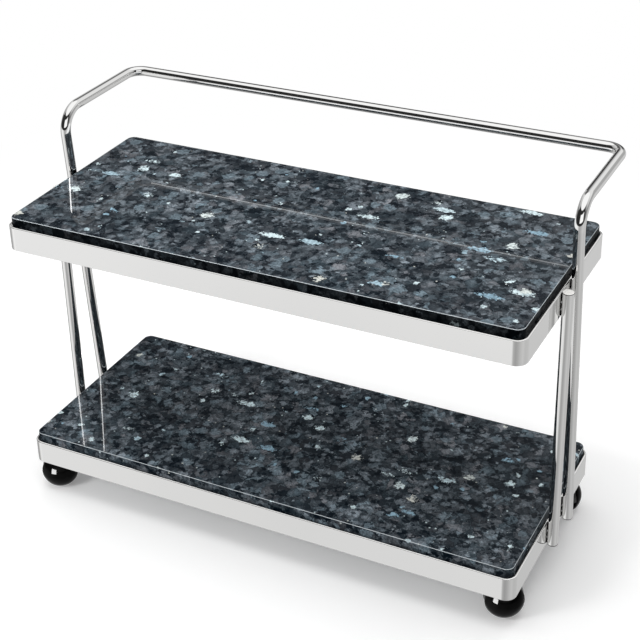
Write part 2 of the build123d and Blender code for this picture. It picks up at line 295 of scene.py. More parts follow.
    def patches(point, scale, share, reach, tear):
        numbers, distance = cells(point, scale)
        chosen = math2(tree, "LESS_THAN", numbers[0], share)
        size = spread(tree, numbers[2], 0.0, 1.0, 0.5 * reach, reach)
        ragged = math2(tree, "MULTIPLY", math2(tree, "SUBTRACT", torn, 0.5), tear)
        edge = math2(tree, "ADD", math2(tree, "SUBTRACT", size, distance), ragged)
        return math2(tree, "MULTIPLY", chosen, spread(tree, edge, 0.0, 0.06)), numbers[1]

    share = groupIn.outputs["Bright Share"]
    slanted = addNode(tree, "ShaderNodeMapping", {
        "Vector": warp(start, 60.0, 0.016), "Rotation": (0.0, 0.0, 0.5), "Scale": (0.5, 1.3, 1.0),
    }).outputs[0]
    glint = spread(tree, torn, 0.32, 0.6, 0.35, 1.05)
    ice, cream, blue = (0.7, 0.84, 0.88, 1.0), (0.66, 0.67, 0.62, 1.0), (0.28, 0.43, 0.53, 1.0)
    sheen = mixColor(tree, 1.0, (0.2, 0.26, 0.3, 1.0), spread(tree, midStreak, 0.3, 0.7, 0.25, 1.6), "MULTIPLY")
    layers = [
        (patches(bent, 44.0, 0.1, 0.6, 0.8), 0.65, sheen, sheen),
        (patches(slanted, 40.0, share, 0.46, 0.9), 1.0, blue, ice),
        (patches(warp(start, 75.0, 0.012, 3.0), 34.0, share, 0.4, 0.95), 1.0, ice, cream),
        (patches(warp(start, 75.0, 0.01, 3.0), 78.0, math2(tree, "MULTIPLY", share, 0.6), 0.45, 1.0), 0.9, ice, blue),
        (patches(start, 230.0, 0.012, 0.45, 0.4), 0.8, ice, cream),
    ]
    for (mask, pick), strength, first, second in layers:
        own = mixColor(tree, spread(tree, pick, 0.45, 0.75), first, second)
        own = mixColor(tree, 1.0, own, glint, "MULTIPLY")
        color = mixColor(tree, math2(tree, "MULTIPLY", mask, strength), color, own)
    color = vector2(tree, "ADD", color, (0.0, 0.0035, 0.0078))
    fill(tree, groupOut.inputs["Color"], scaled(tree, color, groupIn.outputs["Tone"]))
    fill(tree, groupOut.inputs["Polish"], spread(tree, blotch, 0.3, 0.7, 0.94, 1.0))
    return tree


# Painted light on the stone: the sides are painted darker than the polished top (painted shade for a stone that gleams
# one way only), and a mirrored view is painted darker too, with less coat, until it's so far off that it is painted
# pale as a painted reflection of the room; the ground arris is painted pale as a painted highlight
def makeStone(name, sideShade, paintedReflectionFrom, values):
    material, tree = startMaterial(name)
    facing = addNode(tree, "ShaderNodeNewGeometry").outputs["Normal"]
    upward = math2(tree, "ABSOLUTE", addNode(tree, "ShaderNodeSeparateXYZ", {"Vector": facing}).outputs[2])
    path = addNode(tree, "ShaderNodeLightPath").outputs
    mirrored = path["Is Glossy Ray"]
    # Painted shade: the sides take a darker tone than the top, and a mirrored view of the stone a darker tone still
    tone = math2(tree, "MULTIPLY", spread(tree, upward, 0.1, 0.8, sideShade * values["Tone"], values["Tone"]),
                 spread(tree, mirrored, 0.0, 1.0, 1.0, 0.45))
    grain = useGroup(tree, stoneGrain, {**values, "Tone": tone})
    # Painted highlight: the ground arris between top and side is painted pale
    paintedArrisHighlight = between(tree, upward, 0.35, 0.97, 0.15)
    color = mixColor(tree, math2(tree, "MULTIPLY", paintedArrisHighlight, 0.9), grain.outputs["Color"], (0.6, 0.65, 0.68, 1.0))
    # Painted reflection: seen in a mirror from further off than the given reach, the stone is painted pale like the
    # room
    paintedRoomReflection = math2(tree, "MULTIPLY", mirrored, spread(tree, path["Ray Length"], paintedReflectionFrom, paintedReflectionFrom + 0.04))
    color = mixColor(tree, paintedRoomReflection, color, (0.75, 0.76, 0.77, 1.0))
    shader = addNode(tree, "ShaderNodeBsdfPrincipled", {
        "Base Color": color, "Roughness": 0.3, "IOR": 1.06, "Coat Roughness": 0.012, "Coat IOR": 1.26,
        "Coat Weight": math2(tree, "MULTIPLY", spread(tree, upward, 0.9, 0.99, 0.0, grain.outputs["Polish"]),
                             spread(tree, mirrored, 0.0, 1.0, 1.0, 0.15)),
    })
    finishMaterial(tree, shader)
    return material


# Plated and turned steels and brass: satin metal with fine grain
def makeSatinMetal(name, color, deep, grainScale, low, high):
    material, tree = startMaterial(name)
    marks = useGroup(tree, surfaceMarks, {
        "Grain Scale": grainScale, "Smudge Scale": 40.0, "Roughness Low": low, "Roughness High": high,
    })
    patch = noise(tree, objectPoint(tree), 85.0, 4.0, 0.6).outputs["Fac"]
    tint = mixColor(tree, spread(tree, patch, 0.3, 0.7), deep, color)
    bump = addNode(tree, "ShaderNodeBump", {
        "Strength": 0.15, "Distance": 0.00004, "Height": marks.outputs["Height"],
    })
    shader = addNode(tree, "ShaderNodeBsdfPrincipled", {
        "Base Color": tint, "Metallic": 1.0, "Roughness": marks.outputs["Roughness"],
        "Normal": bump.outputs["Normal"],
    })
    finishMaterial(tree, shader)
    return material


# Moulded plastics and rubber
def makeMoulded(name, color, worn, grainScale, low, high, bumpStrength, gloss=1.5):
    material, tree = startMaterial(name)
    marks = useGroup(tree, surfaceMarks, {
        "Grain Scale": grainScale, "Smudge Scale": 55.0, "Roughness Low": low, "Roughness High": high,
    })
    patch = noise(tree, objectPoint(tree), 120.0, 3.0, 0.55).outputs["Fac"]
    tint = mixColor(tree, spread(tree, patch, 0.4, 0.75), color, worn)
    bump = addNode(tree, "ShaderNodeBump", {
        "Strength": bumpStrength, "Distance": 0.00006, "Height": marks.outputs["Height"],
    })
    shader = addNode(tree, "ShaderNodeBsdfPrincipled", {
        "Base Color": tint, "Roughness": marks.outputs["Roughness"], "IOR": gloss,
        "Normal": bump.outputs["Normal"],
    })
    finishMaterial(tree, shader)
    return material


# Satin plate of the leg caps, paler than the chrome
def makeCapPlate():
    material, tree = startMaterial("satinPlate")
    marks = useGroup(tree, surfaceMarks, {
        "Grain Scale": 1800.0, "Smudge Scale": 90.0, "Roughness Low": 0.3, "Roughness High": 0.42,
    })
    tint = mixColor(tree, spread(tree, marks.outputs["Height"], 0.3, 0.7), (0.82, 0.81, 0.79, 1), (0.88, 0.87, 0.85, 1))
    shader = addNode(tree, "ShaderNodeBsdfPrincipled", {
        "Base Color": tint, "Metallic": 0.2, "Roughness": marks.outputs["Roughness"],
    })
    finishMaterial(tree, shader)
    return material


stoneGrain = makeStoneGroup()
capPlate = makeCapPlate()
chrome = makeChrome()
stones = {
    "upper": makeStone("upperStone", 0.2, 0.19, {
        "Place": (0.31, 0.17, 0.0), "Black Level": 0.41, "Bright Share": 0.07, "Tone": 0.93,
    }),
    "lower": makeStone("lowerStone", 0.75, 5.0, {
        "Place": (1.73, 0.62, 0.4), "Black Level": 0.405, "Bright Share": 0.06, "Tone": 1.08,
    }),
}
zincSteel = makeSatinMetal("zincSteel", (0.62, 0.63, 0.64, 1), (0.5, 0.52, 0.54, 1), 700.0, 0.24, 0.36)
screwSteel = makeSatinMetal("screwSteel", (0.68, 0.68, 0.69, 1), (0.56, 0.56, 0.57, 1), 1600.0, 0.2, 0.32)
bushBrass = makeSatinMetal("bushBrass", (0.75, 0.58, 0.29, 1), (0.62, 0.46, 0.21, 1), 1500.0, 0.22, 0.34)
rubber = makeMoulded("blackRubber", (0.028, 0.028, 0.028, 1), (0.05, 0.05, 0.05, 1), 1100.0, 0.62, 0.8, 0.3)
nylon = makeMoulded("blackNylon", (0.018, 0.018, 0.019, 1), (0.032, 0.032, 0.034, 1), 1500.0, 0.36, 0.5, 0.2)
ballGloss = makeMoulded("ballGloss", (0.0002, 0.0002, 0.0002, 1), (0.0004, 0.0004, 0.0004, 1), 700.0, 0.04, 0.07, 0.01, 1.12)
slotFinish = {
    "chrome": chrome, "zinc_steel": zincSteel, "screw_steel": screwSteel, "rubber": rubber,
    "black_plastic": nylon, "ball_plastic": ballGloss, "bush_brass": bushBrass,
}
print("materials made")


# A new object at the origin, with its place in its mesh
def placeMesh(name, mesh, material):
    mesh.materials.clear()
    mesh.materials.append(material)
    piece = bpy.data.objects.new(name, mesh)
    bpy.context.scene.collection.objects.link(piece)
    return piece


def meshOf(name, points, faces):
    mesh = bpy.data.meshes.new(name)
    mesh.from_pydata([tuple(p) for p in points], [], faces)
    shape = bmesh.new()
    shape.from_mesh(mesh)
    bmesh.ops.recalc_face_normals(shape, faces=shape.faces)
    shape.to_mesh(mesh)
    shape.free()
    mesh.shade_smooth()
    return mesh


def settle(piece, body, slot, *nodes):
    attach(piece, body)
    if nodes:
        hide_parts(*nodes)
    return piece


# A skin over rings with as many points each: joined round, or capped at both ends
def skin(rings, joined):
    count = len(rings[0])
    points = [p for ring in rings for p in ring]
    faces = []
    for i in range(len(rings) if joined else len(rings) - 1):
        low, high = i * count, (i + 1) % len(rings) * count
        for j in range(count):
            k = (j + 1) % count
            faces.append((low + j, low + k, high + k, high + j))
    if not joined:
        faces.append(tuple(reversed(range(count))))
        faces.append(tuple(range(len(points) - count, len(points))))
    return points, faces


# A level ring with round corners, drawn in from a box's sides
def roundedRing(low, high, inset, z, radius, steps, hold):
    r = radius - inset
    ring = []
    for corner, (sideX, sideY) in enumerate(((1, -1), (1, 1), (-1, 1), (-1, -1))):
        middle = Vector((
            (high.x if sideX > 0 else low.x) - sideX * radius,
            (high.y if sideY > 0 else low.y) - sideY * radius,
            z,
        ))
        first = math.radians(90 * corner - 90)
        turns = [first + math.pi / 2 * i / steps for i in range(steps + 1)]
        arc = [middle + r * Vector((math.cos(t), math.sin(t), 0)) for t in turns]
        before = hold * Vector((-math.sin(turns[0]), math.cos(turns[0]), 0))
        after = hold * Vector((-math.sin(turns[-1]), math.cos(turns[-1]), 0))
        ring += [arc[0] - before, *arc, arc[-1] + after]
    return ring


# Part of a round about a middle: (inset, height) pairs
def partRound(inset, height, radius, startDegrees, endDegrees, steps):
    turns = [math.radians(startDegrees + (endDegrees - startDegrees) * i / steps) for i in range(steps + 1)]
    return [(inset - radius * math.cos(t), height + radius * math.sin(t)) for t in turns]


def quarterRound(inset, height, radius, startDegrees, steps):
    return partRound(inset, height, radius, startDegrees, startDegrees + 90, steps)


slabLook = {"cornerRadius": 0.012, "topRound": 0.0012, "footRound": 0.0006, "hold": 0.0004, "steps": 14}


def slabStone(tier):
    low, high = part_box(f"{tier}_slab")
    top, foot, hold = slabLook["topRound"], slabLook["footRound"], slabLook["hold"]
    profile = [(foot + hold, low.z)]
    profile += [(i, z) for i, z in quarterRound(foot, low.z + foot, foot, -90, 4)]
    profile += [(0, low.z + foot + hold), (0, high.z - top - hold)]
    profile += quarterRound(top, high.z - top, top, 0, 6)
    profile += [(top + hold, high.z)]
    rings = [
        roundedRing(low, high, inset, z, slabLook["cornerRadius"], slabLook["steps"], 0.0005)
        for inset, z in profile
    ]
    mesh = meshOf(f"{tier}SlabStone", *skin(rings, False))
    piece = placeMesh(f"{tier}SlabStone", mesh, stones[tier])
    settle(piece, "root", "stone", f"{tier}_slab")


hoopLook = {
    "cornerRadius": 0.017, "thick": 0.003, "crown": 0.0032, "shoulder": 0.0005, "innerRound": 0.0003,
    "footRound": 0.0005, "hold": 0.0001, "steps": 20,
}


# The top edge is crowned: a small shoulder outside, then a wide round that runs in to the flat
def hoopBar(tier):
    low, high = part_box(f"{tier}_hoop")
    hold, thick, foot, inner = (hoopLook[name] for name in ("hold", "thick", "footRound", "innerRound"))
    shoulder, crown = hoopLook["shoulder"], hoopLook["crown"]
    drop = (crown - shoulder) * math.sqrt(0.5)
    crownX, shoulderZ = shoulder + drop, high.z - crown + drop
    profile = [(0, low.z + foot + hold), (0, shoulderZ - hold)]
    profile += partRound(shoulder, shoulderZ, shoulder, 0, 45, 3)
    profile += partRound(crownX, high.z - crown, crown, 45, 90, 6)[1:]
    profile += [(thick - inner - hold, high.z)]
    profile += quarterRound(thick - inner, high.z - inner, inner, 90, 4)
    profile += [(thick, high.z - inner - hold), (thick, low.z + foot + hold)]
    profile += quarterRound(thick - foot, low.z + foot, foot, 180, 4)
    profile += [(thick - foot - hold, low.z), (foot + hold, low.z)]
    profile += quarterRound(foot, low.z + foot, foot, 270, 4)
    rings = [
        roundedRing(low, high, inset, z, hoopLook["cornerRadius"], hoopLook["steps"], 0.0005)
        for inset, z in profile
    ]
    piece = placeMesh(f"{tier}HoopBar", meshOf(f"{tier}HoopBar", *skin(rings, True)), chrome)
    settle(piece, "root", "chrome", f"{tier}_hoop")


for tier in tiers:
    slabStone(tier)
    hoopBar(tier)
print("slabs and hoops made")


# A geometry tree with named inputs; each entry is (label, socket type, value)
def startGeometry(name, inputs):
    tree = bpy.data.node_groups.new(name, "GeometryNodeTree")
    tree.interface.new_socket("Geometry", in_out="INPUT", socket_type="NodeSocketGeometry")
    for label, kind, value in inputs:
        socket = tree.interface.new_socket(label, in_out="INPUT", socket_type=kind)
        if value is not None:
            socket.default_value = value
    tree.interface.new_socket("Geometry", in_out="OUTPUT", socket_type="NodeSocketGeometry")
    return tree, tree.nodes.new("NodeGroupInput"), tree.nodes.new("NodeGroupOutput")


def endGeometry(tree, groupIn, groupOut, geometry):
    real = addNode(tree, "GeometryNodeRealizeInstances", {"Geometry": geometry})
    dressed = addNode(tree, "GeometryNodeSetMaterial", {
        "Geometry": real.outputs[0], "Material": groupIn.outputs["Finish"],
    })
    fill(tree, groupOut.inputs["Geometry"], dressed.outputs[0])
    return tree


# Runs a tree on a guide mesh and keeps the result as a plain mesh
def bakeTree(name, guide, tree, values, material):
    source = bpy.data.objects.new(f"{name}Guide", guide)
    bpy.context.scene.collection.objects.link(source)
    modifier = source.modifiers.new("make", "NODES")
    modifier.node_group = tree
    for item in tree.interface.items_tree:
        if item.item_type == "SOCKET" and item.in_out == "INPUT" and item.name in values:
            modifier[item.identifier] = values[item.name]
    evaluated = source.evaluated_get(bpy.context.evaluated_depsgraph_get())
    mesh = bpy.data.meshes.new_from_object(evaluated)
    mesh.name = name
    source.modifiers.remove(modifier)
    bpy.data.objects.remove(source)
    return placeMesh(name, mesh, material)


# Round tube along a line of points
def makeTubeTree():
    tree, groupIn, groupOut = startGeometry("tubeAlongPath", [
        ("Radius", "NodeSocketFloat", 0.008), ("Sides", "NodeSocketInt", 64),
        ("Finish", "NodeSocketMaterial", None),
    ])
    path = addNode(tree, "GeometryNodeMeshToCurve", {"Mesh": groupIn.outputs["Geometry"]})
    circle = addNode(tree, "GeometryNodeCurvePrimitiveCircle", {
        "Radius": groupIn.outputs["Radius"], "Resolution": groupIn.outputs["Sides"],
    })
    sweep = addNode(tree, "GeometryNodeCurveToMesh", {
        "Curve": path.outputs[0], "Profile Curve": circle.outputs[0], "Fill Caps": True,
    })
    return endGeometry(tree, groupIn, groupOut, sweep.outputs[0])


tubeAlongPath = makeTubeTree()
tubeLook = {"sides": 72, "bendStep": math.radians(3.0), "hold": 0.001}
handleLook = {"footY": 0.045, "upperY": 0.018, "armBend": 0.036, "cornerBend": 0.024}


# Sharp corners become arcs, with a point just before and after each bend
def bentPath(corners, bends):
    hold = tubeLook["hold"]
    path = [corners[0], corners[0] + hold * (corners[1] - corners[0]).normalized()]
    for before, corner, after, radius in zip(corners, corners[1:], corners[2:], bends):
        back, ahead = (before - corner).normalized(), (after - corner).normalized()
        turn = math.pi - back.angle(ahead)
        reach = radius * math.tan(turn / 2)
        centre = corner + (back + ahead).normalized() * radius / math.cos(turn / 2)
        spoke = corner + back * reach - centre
        axis = spoke.cross(corner + ahead * reach - centre).normalized()
        steps = math.ceil(turn / tubeLook["bendStep"])
        path.append(corner + back * (reach + hold))
        path += [centre + Matrix.Rotation(turn * i / steps, 3, axis) @ spoke for i in range(steps + 1)]
        path.append(corner + ahead * (reach + hold))
    path += [corners[-1] + hold * (corners[-2] - corners[-1]).normalized(), corners[-1]]
    return path


def tubePiece(name, path, node):
    guide = bpy.data.meshes.new(name)
    guide.from_pydata([tuple(p) for p in path], [(i, i + 1) for i in range(len(path) - 1)], [])
    low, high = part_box("left_front_leg")
    values = {"Radius": (high.x - low.x) / 2, "Sides": tubeLook["sides"], "Finish": chrome}
    return settle(bakeTree(name, guide, tubeAlongPath, values, chrome), "root", "chrome", node)


def frontLeg(side):
    low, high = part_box(f"{side}_front_leg")
    middle = (low + high) / 2
    path = bentPath([Vector((middle.x, middle.y, low.z)), Vector((middle.x, middle.y, high.z))], [])
    tubePiece(f"{side}FrontLeg", path, f"{side}_front_leg")


shelfY = sum(p.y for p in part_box("upper_slab")) / 2
hoopFoot = {tier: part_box(f"{tier}_hoop")[0].z for tier in tiers}
tubeX = sum(p.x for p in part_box("right_front_leg")) / 2
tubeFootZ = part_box("left_front_leg")[0].z


def rearLegPoint(side, z):
    share = (z - hoopFoot["lower"]) / (hoopFoot["upper"] - hoopFoot["lower"])
    y = handleLook["footY"] + (handleLook["upperY"] - handleLook["footY"]) * share
    return Vector((side * tubeX, shelfY + y, z))


def handleTube():
    low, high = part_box("left_front_leg")
    radius = (high.x - low.x) / 2
    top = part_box("handle_tube")[1]
    barY, barZ = top.y - radius, top.z - radius
    corners = [
        rearLegPoint(-1, tubeFootZ), rearLegPoint(-1, barZ), Vector((-tubeX, barY, barZ)),
        Vector((tubeX, barY, barZ)), rearLegPoint(1, barZ), rearLegPoint(1, tubeFootZ),
    ]
    arm, corner = handleLook["armBend"], handleLook["cornerBend"]
    tubePiece("handleTube", bentPath(corners, [arm, corner, corner, arm]), "handle_tube")


for side in ("left", "right"):
    frontLeg(side)
handleTube()
print("tubes made")


# A turned piece: (radius, distance along the axis) pairs, spun about an axis through a point
def turnedMesh(name, profile, origin, axis, steps, joined=False):
    axis = axis.normalized()
    across = axis.orthogonal().normalized()
    other = axis.cross(across)
    points, rows = [], []
    for radius, along in profile:
        middle = origin + axis * along
        if radius == 0:
            rows.append([len(points)])
            points.append(middle)
            continue
        rows.append(list(range(len(points), len(points) + steps)))
        for i in range(steps):
            t = 2 * math.pi * i / steps
            points.append(middle + radius * (math.cos(t) * across + math.sin(t) * other))
    faces = []
    pairs = list(zip(rows, rows[1:] + rows[:1])) if joined else list(zip(rows, rows[1:]))
    for a, b in pairs:
        for i in range(steps):
            j = (i + 1) % steps
            if len(a) == 1:
                faces.append((a[0], b[i], b[j]))
            elif len(b) == 1:
                faces.append((a[i], b[0], a[j]))
            else:
                faces.append((a[i], b[i], b[j], a[j]))
    return meshOf(name, points, faces)


plugLook = {"edge": 0.0005, "thick": 0.0015, "spigot": 0.003, "clearance": 0.00005, "wall": 0.0015, "steps": 64}
capLook = {"crown": 0.0002, "edge": 0.0003, "disc": 0.0006, "neck": 0.0011}


# Flat plug in a tube's end: flange outward, spigot into the bore
def plugProfile():
    low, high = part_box("left_front_leg")
    radius = (high.x - low.x) / 2
    edge, hold = plugLook["edge"], 0.0002
    spigotR = radius - plugLook["wall"] - plugLook["clearance"]
    profile = [(0, -plugLook["thick"]), (radius - edge - hold, -plugLook["thick"])]
    profile += [
        (radius - edge + edge * math.sin(math.radians(15 * i)),
         -plugLook["thick"] + edge - edge * math.cos(math.radians(15 * i)))
        for i in range(7)
    ]
    profile += [(radius, -hold), (radius, 0), (radius - hold, 0), (spigotR + hold, 0), (spigotR, 0)]
    profile += [(spigotR, hold), (spigotR, plugLook["spigot"] - hold), (spigotR, plugLook["spigot"])]
    return profile + [(spigotR - hold, plugLook["spigot"]), (0, plugLook["spigot"])]


# Leg cap: a slightly crowned disc over a narrower neck, on the same spigot
def capProfile():
    low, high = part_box("left_front_leg")
    radius = (high.x - low.x) / 2
    top, crown, edge, disc = -plugLook["thick"], capLook["crown"], capLook["edge"], capLook["disc"]
    rim = radius - edge
    profile = [(0, top)]
    profile += [(rim * i / 8, top + crown * (i / 8) ** 2) for i in range(1, 9)]
    profile += [
        (rim + edge * math.sin(math.radians(18 * i)), top + crown + edge - edge * math.cos(math.radians(18 * i)))
        for i in range(1, 6)
    ]
    neckR = radius - capLook["neck"]
    profile += [(radius, top + disc), (radius - 0.0001, top + disc), (neckR, top + disc), (neckR, top + disc + 0.0001)]
    spigot = [pair for pair in plugProfile() if pair[1] > 0]
    return profile + [(neckR, -0.0001), (neckR, 0), (spigot[0][0], 0)] + spigot


def joinMeshes(name, meshes):
    shape = bmesh.new()
    for mesh in meshes:
        shape.from_mesh(mesh)
    joined = bpy.data.meshes.new(name)
    shape.to_mesh(joined)
    shape.free()
    joined.shade_smooth()
    return joined


for side in ("left", "right"):
    low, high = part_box(f"{side}_front_leg")
    seat = Vector(((low.x + high.x) / 2, (low.y + high.y) / 2, high.z))
    mesh = turnedMesh(f"{side}LegCap", capProfile(), seat, Vector((0, 0, -1)), plugLook["steps"])
    piece = placeMesh(f"{side}LegCap", mesh, chrome)
    mesh.materials.append(capPlate)
    mesh.materials.append(nylon)
    # The top faces take the pale satin plate; the neck faces below the disc are finished black as painted shade for the
    # groove under the disc
    ringTop = seat.z + plugLook["thick"] - capLook["disc"]
    for face in mesh.polygons:
        if face.normal.z > 0.93:
            face.material_index = 1
        elif seat.z < face.center.z < ringTop + 0.00002:
            face.material_index = 2
    settle(piece, "root", "chrome", f"{side}_leg_cap")

feet = []
for side in (-1, 1):
    legX, legY = side * tubeX, sum(p.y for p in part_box("left_front_leg")) / 2
    front = Vector((legX, legY, tubeFootZ))
    rear = rearLegPoint(side, tubeFootZ)
    lean = rearLegPoint(side, tubeFootZ + 1.0) - rear
    feet.append(turnedMesh("foot", plugProfile(), front, Vector((0, 0, 1)), 48))
    feet.append(turnedMesh("foot", plugProfile(), rear, lean, 48))
settle(placeMesh("footPlugs", joinMeshes("footPlugs", feet), nylon), "root", "black_plastic", "foot_plugs")
print("caps and plugs made")


wheelLook = {
    "ball": 0.03, "face": 0.0064, "tread": 0.0026, "shell": 0.0035, "hub": 0.007, "hubFace": 0.0062,
    "bore": 0.00305, "boreEnd": 0.024, "edge": 0.0004, "steps": 96,
}


# One domed half: sphere outside, flat tread, thin shell and hub inside
def wheelProfile():
    ball, face = wheelLook["ball"], wheelLook["face"]
    treadEnd = face + wheelLook["tread"]
    treadR = math.sqrt(ball**2 - treadEnd**2)
    lastTurn = math.acos(treadEnd / ball)
    profile = [(0, ball)]
    profile += [(ball * math.sin(lastTurn * i / 40), ball * math.cos(lastTurn * i / 40)) for i in range(1, 40)]
    profile += [(ball * math.sin(lastTurn * 0.995), ball * math.cos(lastTurn * 0.995)), (treadR, treadEnd)]
    edge, inner = wheelLook["edge"], ball - wheelLook["shell"]
    profile += [(treadR, treadEnd - 0.0002), (treadR, face + edge + 0.0002)]
    profile += [
        (treadR - edge + edge * math.cos(math.radians(18 * i)), face + edge - edge * math.sin(math.radians(18 * i)))
        for i in range(6)
    ]
    wallR = math.sqrt(inner**2 - face**2)
    profile += [(treadR - edge - 0.0002, face), (wallR + 0.0002, face), (wallR, face)]
    firstTurn = math.asin(wallR / inner)
    hubTurn = math.asin(wheelLook["hub"] / inner)
    spans = [firstTurn + (hubTurn - firstTurn) * i / 16 for i in range(17)]
    profile += [(inner * math.sin(t), inner * math.cos(t)) for t in spans[1:]]
    hubFace, bore = wheelLook["hubFace"], wheelLook["bore"]
    profile += [(wheelLook["hub"], hubFace + 0.0002), (wheelLook["hub"], hubFace)]
    profile += [(bore + 0.0002, hubFace), (bore, hubFace), (bore, hubFace + 0.0002)]
    return profile + [(bore, wheelLook["boreEnd"]), (0, wheelLook["boreEnd"])]


ballPieces = []
spins = {j["child"]: j for j in frame["joints"] if "wheels" in j["child"]}
for corner in corners:
    joint = spins[f"{corner}_wheels"]
    hub, axle = Vector(joint["pos_m"]), Vector(joint["axis"])
    for side, way in (("left", 1), ("right", -1)):
        name = f"{corner}_{side}_ball_half"
        mesh = turnedMesh(name, wheelProfile(), hub, way * axle, wheelLook["steps"])
        piece = placeMesh(name, mesh, ballGloss)
        ballPieces.append(piece)
        settle(piece, f"{corner}_wheels", "ball_plastic", f"{corner}_wheel_{side}")
print("ball halves made")


# Copies of a shape at the guide's points, each turned as the point's "turn" says
def makeCopyTree():
    tree, groupIn, groupOut = startGeometry("copiesAtPoints", [
        ("Shape", "NodeSocketObject", None), ("Finish", "NodeSocketMaterial", None),
    ])
    shape = addNode(tree, "GeometryNodeObjectInfo", {"Object": groupIn.outputs["Shape"]})
    turn = addNode(tree, "GeometryNodeInputNamedAttribute", {"Name": "turn"}, data_type="FLOAT_VECTOR")
    rotation = addNode(tree, "FunctionNodeEulerToRotation", {"Euler": turn.outputs["Attribute"]})
    copies = addNode(tree, "GeometryNodeInstanceOnPoints", {
        "Points": groupIn.outputs["Geometry"], "Instance": shape.outputs["Geometry"],
        "Rotation": rotation.outputs["Rotation"],
    })
    smooth = addNode(tree, "GeometryNodeSetShadeSmooth", {"Geometry": copies.outputs[0]})
    return endGeometry(tree, groupIn, groupOut, smooth.outputs[0])


copiesAtPoints = makeCopyTree()


# Places are (point, turn) pairs; the copies replace the CAD node of the same group
def copiedPiece(name, shapeMesh, places, material, body, node):
    guide = bpy.data.meshes.new(f"{name}Points")
    guide.from_pydata([tuple(point) for point, turn in places], [], [])
    turns = guide.attributes.new("turn", "FLOAT_VECTOR", "POINT")
    for i, (point, turn) in enumerate(places):
        turns.data[i].vector = turn
    shape = bpy.data.objects.new(f"{name}Shape", shapeMesh)
    bpy.context.scene.collection.objects.link(shape)
    piece = bakeTree(name, guide, copiesAtPoints, {"Shape": shape, "Finish": material}, material)
    bpy.data.objects.remove(shape)
    settle(piece, body, slots[node], node)


# Rings about +Z from (radius or radius by turn, height) pairs, closed at both ends
def spunMesh(name, profile, steps):
    rings = []
    for radius, height in profile:
        turns = [2 * math.pi * i / steps for i in range(steps)]
        sizes = [radius(t) if callable(radius) else radius for t in turns]
        rings.append([(r * math.cos(t), r * math.sin(t), height) for r, t in zip(sizes, turns)])
    return meshOf(name, *skin(rings, False))


# Round disc or ring with softened edges; a bore of 0 makes it a disc
def softRing(name, radius, bore, thick, soft, steps):
    if bore == 0:
        profile = [(radius - soft - 0.0002, 0)]
        profile += [(radius - x, z) for x, z in quarterRound(soft, soft, soft, -90, 3)]
        profile += [(radius - x, z) for x, z in quarterRound(soft, thick - soft, soft, 0, 3)]
        return spunMesh(name, profile + [(radius - soft - 0.0002, thick)], steps)
    profile = [(bore, soft), (bore + soft, 0), (radius - soft, 0)]
    profile += [(radius, soft), (radius, thick - soft), (radius - soft, thick), (bore + soft, thick), (bore, thick - soft)]
    return turnedMesh(name, profile, Vector((0, 0, 0)), Vector((0, 0, 1)), steps, joined=True)


screwLook = {
    "shank": 0.0025, "length": 0.014, "head": 0.00475, "headHigh": 0.0027, "round": 0.0012, "socket": 0.003,
    "socketDeep": 0.0016, "pitch": 0.0008, "thread": 0.00025, "washer": 0.005, "washerThick": 0.001, "steps": 36,
}


def hexRadius(acrossFlats, most=1.0):
    return lambda t: min(most, acrossFlats / 2 / math.cos((t + math.pi / 6) % (math.pi / 3) - math.pi / 6))


# Button head towards -Z with a hexagon socket, thread ridges on the shank
def screwMesh():
    look = screwLook
    shank, head, high, soft = look["shank"], look["head"], look["headHigh"], look["round"]
    profile = [(shank - look["thread"] * 2, look["length"])]
    ridges = int((look["length"] - 0.001) / look["pitch"])
    for i in range(ridges):
        z = look["length"] - 0.0005 - i * look["pitch"]
        profile += [(shank, z), (shank - look["thread"], z - look["pitch"] / 2)]
    profile += [(shank, 0), (shank + 0.0001, 0), (head - 0.0001, 0), (head, 0), (head, -0.0002)]
    turns = [math.radians(90 * i / 6) for i in range(7)]
    profile += [(head - soft + soft * math.cos(t), -high + soft - soft * math.sin(t)) for t in turns]
    socket = hexRadius(look["socket"])
    profile += [
        (look["socket"] * 0.72, -high), (socket, -high), (socket, -high + 0.0001),
        (socket, -high + look["socketDeep"]), (0.0003, -high + look["socketDeep"]),
    ]
    return spunMesh("buttonScrew", profile, look["steps"])


def screwPlaces(tier, inward):
    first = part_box(f"{tier}_tube_screws")
    across, places = (first[0].z + first[1].z) / 2, []
    pitch = first[1].z - first[0].z - 2 * screwLook["head"]
    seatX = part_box("upper_hoop")[1].x - hoopLook["thick"] - inward
    for side in (-1, 1):
        for z in (across - pitch / 2, across + pitch / 2):
            frontY = sum(p.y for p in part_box("left_front_leg")) / 2
            for y in (frontY, rearLegPoint(side, z).y):
                places.append(((side * seatX, y, z), (0, side * math.pi / 2, 0)))
    return places


padLook = {"radius": 0.009, "thick": 0.002, "soft": 0.0004, "spacing": 0.22}
bumperLook = {"length": 0.02, "height": 0.006, "gap": 0.002, "soft": 0.0003, "longSpread": 0.5, "shortSpread": 0.2}
nutLook = {"across": 0.013, "high": 0.0065, "bore": 0.00405, "chamfer": 0.0007, "washer": 0.008, "washerThick": 0.0016}


def padPlaces(tier):
    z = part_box(f"{tier}_slab")[0].z - padLook["thick"]
    rails = [sum(p.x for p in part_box(f"{tier}_rail_{name}")) / 2 for name in ("left", "centre", "right")]
    return [((x, shelfY + y, z), (0, 0, 0)) for x in rails for y in (-padLook["spacing"] / 2, padLook["spacing"] / 2)]


# Bumper block lying along X, its back on the hoop
def bumperMesh():
    shape = bmesh.new()
    bmesh.ops.create_cube(shape, size=1.0)
    size = (bumperLook["length"], bumperLook["gap"], bumperLook["height"])
    bmesh.ops.scale(shape, vec=size, verts=shape.verts)
    bmesh.ops.bevel(shape, geom=shape.edges[:], offset=bumperLook["soft"], segments=3, profile=0.5, affect="EDGES")
    mesh = bpy.data.meshes.new("bumper")
    shape.to_mesh(mesh)
    shape.free()
    mesh.shade_smooth()
    return mesh


